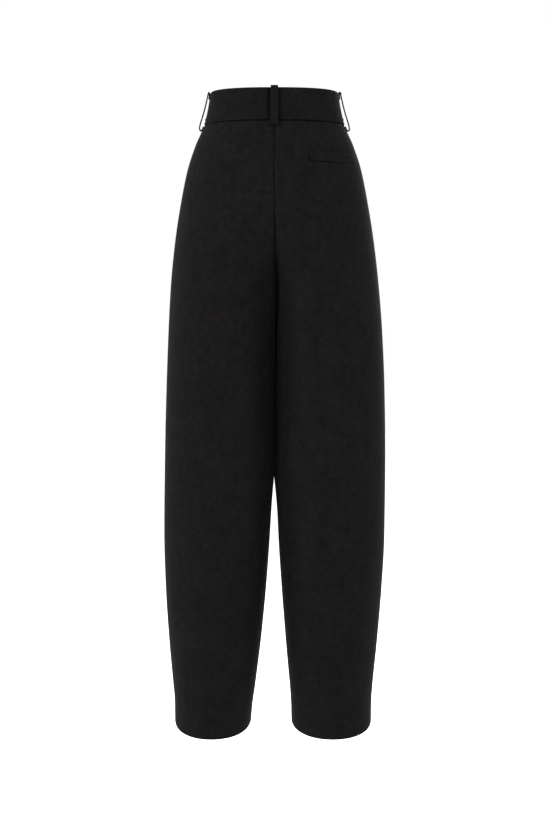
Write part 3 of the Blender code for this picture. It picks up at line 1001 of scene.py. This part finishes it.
def wool_cloth(name, light, nap_rise):
    """Black wool: a close twill under a felted nap, mottled a little from place to place."""
    material = bpy.data.materials.new(name)
    material.use_nodes = True
    nodes, links = material.node_tree.nodes, material.node_tree.links
    shader = nodes["Principled BSDF"]
    shader.inputs["Roughness"].default_value = 0.92
    shader.inputs["Specular IOR Level"].default_value = 0.03
    shader.inputs["Sheen Weight"].default_value = 0.012
    shader.inputs["Sheen Roughness"].default_value = 0.4
    shader.inputs["Sheen Tint"].default_value = (0.93, 0.95, 1.0, 1.0)

    place = nodes.new("ShaderNodeTexCoord")
    on_cloth = nodes.new("ShaderNodeUVMap")
    on_cloth.uv_map = "weave"

    mottle = new_node(nodes, "ShaderNodeTexNoise", Scale=122.0, Detail=4.0, Roughness=0.5)
    links.new(place.outputs["Object"], mottle.inputs["Vector"])
    clouds = new_node(nodes, "ShaderNodeTexNoise", Scale=30.0, Detail=3.0, Roughness=0.5)
    links.new(place.outputs["Object"], clouds.inputs["Vector"])
    large_and_small = new_node(nodes, "ShaderNodeMath", operation="MULTIPLY_ADD")
    links.new(clouds.outputs["Fac"], large_and_small.inputs[0])
    large_and_small.inputs[1].default_value = 0.5
    links.new(mottle.outputs["Fac"], large_and_small.inputs[2])
    evened = new_node(nodes, "ShaderNodeMath", operation="MULTIPLY")
    links.new(large_and_small.outputs[0], evened.inputs[0])
    evened.inputs[1].default_value = 0.667
    shades = nodes.new("ShaderNodeValToRGB")
    shades.color_ramp.elements[0].position = 0.37
    shades.color_ramp.elements[0].color = WOOL_DARK
    shades.color_ramp.elements[1].position = 0.63
    shades.color_ramp.elements[1].color = light
    links.new(evened.outputs[0], shades.inputs["Fac"])
    links.new(shades.outputs["Color"], shader.inputs["Base Color"])

    twill = new_node(
        nodes,
        "ShaderNodeTexWave",
        wave_type="BANDS",
        bands_direction="DIAGONAL",
        Scale=560.0,
        Distortion=1.2,
        Detail=2.0,
        Detail_Scale=2.0,
    )
    links.new(on_cloth.outputs["UV"], twill.inputs["Vector"])
    twill_bump = new_node(nodes, "ShaderNodeBump", Strength=0.35, Distance=0.00012)
    links.new(twill.outputs["Fac"], twill_bump.inputs["Height"])
    nap = new_node(nodes, "ShaderNodeTexNoise", Scale=480.0, Detail=6.0, Roughness=0.7)
    links.new(place.outputs["Object"], nap.inputs["Vector"])
    nap_bump = new_node(nodes, "ShaderNodeBump", Strength=0.6, Distance=nap_rise)
    links.new(nap.outputs["Fac"], nap_bump.inputs["Height"])
    links.new(twill_bump.outputs["Normal"], nap_bump.inputs["Normal"])
    felt_bump = new_node(nodes, "ShaderNodeBump", Strength=0.5, Distance=0.0006)
    links.new(mottle.outputs["Fac"], felt_bump.inputs["Height"])
    links.new(nap_bump.outputs["Normal"], felt_bump.inputs["Normal"])
    links.new(felt_bump.outputs["Normal"], shader.inputs["Normal"])
    return material


def sewing_thread():
    """Black thread with a slight shine."""
    material = bpy.data.materials.new("black_thread")
    material.use_nodes = True
    nodes, links = material.node_tree.nodes, material.node_tree.links
    shader = nodes["Principled BSDF"]
    shader.inputs["Roughness"].default_value = 0.6
    shader.inputs["Specular IOR Level"].default_value = 0.1
    place = nodes.new("ShaderNodeTexCoord")
    twist = new_node(nodes, "ShaderNodeTexNoise", Scale=900.0, Detail=2.0)
    links.new(place.outputs["Object"], twist.inputs["Vector"])
    shades = nodes.new("ShaderNodeValToRGB")
    shades.color_ramp.elements[0].color = THREAD_DARK
    shades.color_ramp.elements[1].color = THREAD_LIGHT
    links.new(twist.outputs["Fac"], shades.inputs["Fac"])
    links.new(shades.outputs["Color"], shader.inputs["Base Color"])
    return material


# The trousers

wool = wool_cloth("black_wool", WOOL_LIGHT, WOOL_NAP)
band_wool = wool_cloth("black_wool_pressed", BAND_LIGHT, BAND_NAP)
thread = sewing_thread()

for side, side_name in SIDE_NAMES.items():
    waistband_half(side, band_wool)
    leg_panel(side, "back", wool)
    leg_panel(side, "front", wool)
    belt_loop(f"belt_loop_side_{side_name}", side, SIDE_ANGLE, LOOP_SLACK, band_wool)
    front_angle = angle_at_x(FRONT_LOOP_X, BAND_DEPTH / 2, "front")
    belt_loop(f"belt_loop_front_{side_name}", side, front_angle, FRONT_LOOP_SLACK, band_wool)
belt_loop("belt_loop_back", LEFT, BACK_ANGLE, LOOP_SLACK, band_wool)
pocket_welt(wool)
fly_lap(wool)
seam_allowances("back", wool)
seam_allowances("front", wool)
fly_stitches(thread)

# The studio


def studio():
    """A pale floor well below the hems, a white world, soft lights and plain colours."""
    faces = bmesh.new()
    bmesh.ops.create_cone(
        faces,
        cap_ends=True,
        segments=96,
        radius1=FLOOR_RADIUS,
        radius2=FLOOR_RADIUS,
        depth=FLOOR_THICKNESS,
        matrix=Matrix.Translation((0, 0, FLOOR_HEIGHT)),
    )
    mesh = bpy.data.meshes.new("floor")
    faces.to_mesh(mesh)
    faces.free()
    paper = bpy.data.materials.new("pale_floor")
    paper.use_nodes = True
    shader = paper.node_tree.nodes["Principled BSDF"]
    shader.inputs["Base Color"].default_value = PALE_GREY
    shader.inputs["Roughness"].default_value = 1.0
    shader.inputs["Specular IOR Level"].default_value = 0.0
    shader.inputs["Emission Color"].default_value = WHITE
    shader.inputs["Emission Strength"].default_value = 0.22
    mesh.materials.append(paper)
    floor = bpy.data.objects.new("floor", mesh)
    bpy.context.scene.collection.objects.link(floor)

    world = bpy.data.worlds.new("studio_white")
    world.use_nodes = True
    world.node_tree.nodes["Background"].inputs["Color"].default_value = WHITE
    world.node_tree.nodes["Background"].inputs["Strength"].default_value = 1.0
    bpy.context.scene.world = world

    for light in LIGHTS:
        soft_light(*light)

    scene = bpy.context.scene
    scene.view_settings.view_transform = "Standard"
    scene.view_settings.look = "None"
    scene.view_settings.exposure = 0.0
    scene.view_settings.gamma = 1.0


def soft_light(name, place, target, width, height, power):
    """A large soft panel of light that looks at the trousers."""
    lamp = bpy.data.lights.new(name, "AREA")
    lamp.shape = "RECTANGLE"
    lamp.size = width
    lamp.size_y = height
    lamp.energy = power
    holder = bpy.data.objects.new(name, lamp)
    holder.location = place
    look = Vector(target) - Vector(place)
    holder.rotation_mode = "QUATERNION"
    holder.rotation_quaternion = look.to_track_quat("-Z", "Y")
    bpy.context.scene.collection.objects.link(holder)


def photo_camera():
    """The camera that sees the trousers from behind, from the height of the fork."""
    lens = bpy.data.cameras.new("photo_camera")
    lens.lens = CAMERA_LENS
    lens.sensor_width = CAMERA_SENSOR
    camera = bpy.data.objects.new("photo_camera", lens)
    camera.location = (CAMERA_SIDE, CAMERA_DISTANCE, (BAND_DEPTH / 2 - CAMERA_DROP) * MM)
    camera.rotation_euler = (math.radians(90 - CAMERA_PITCH), 0, math.radians(180))
    bpy.context.scene.collection.objects.link(camera)
    bpy.context.scene.camera = camera


studio()
photo_camera()
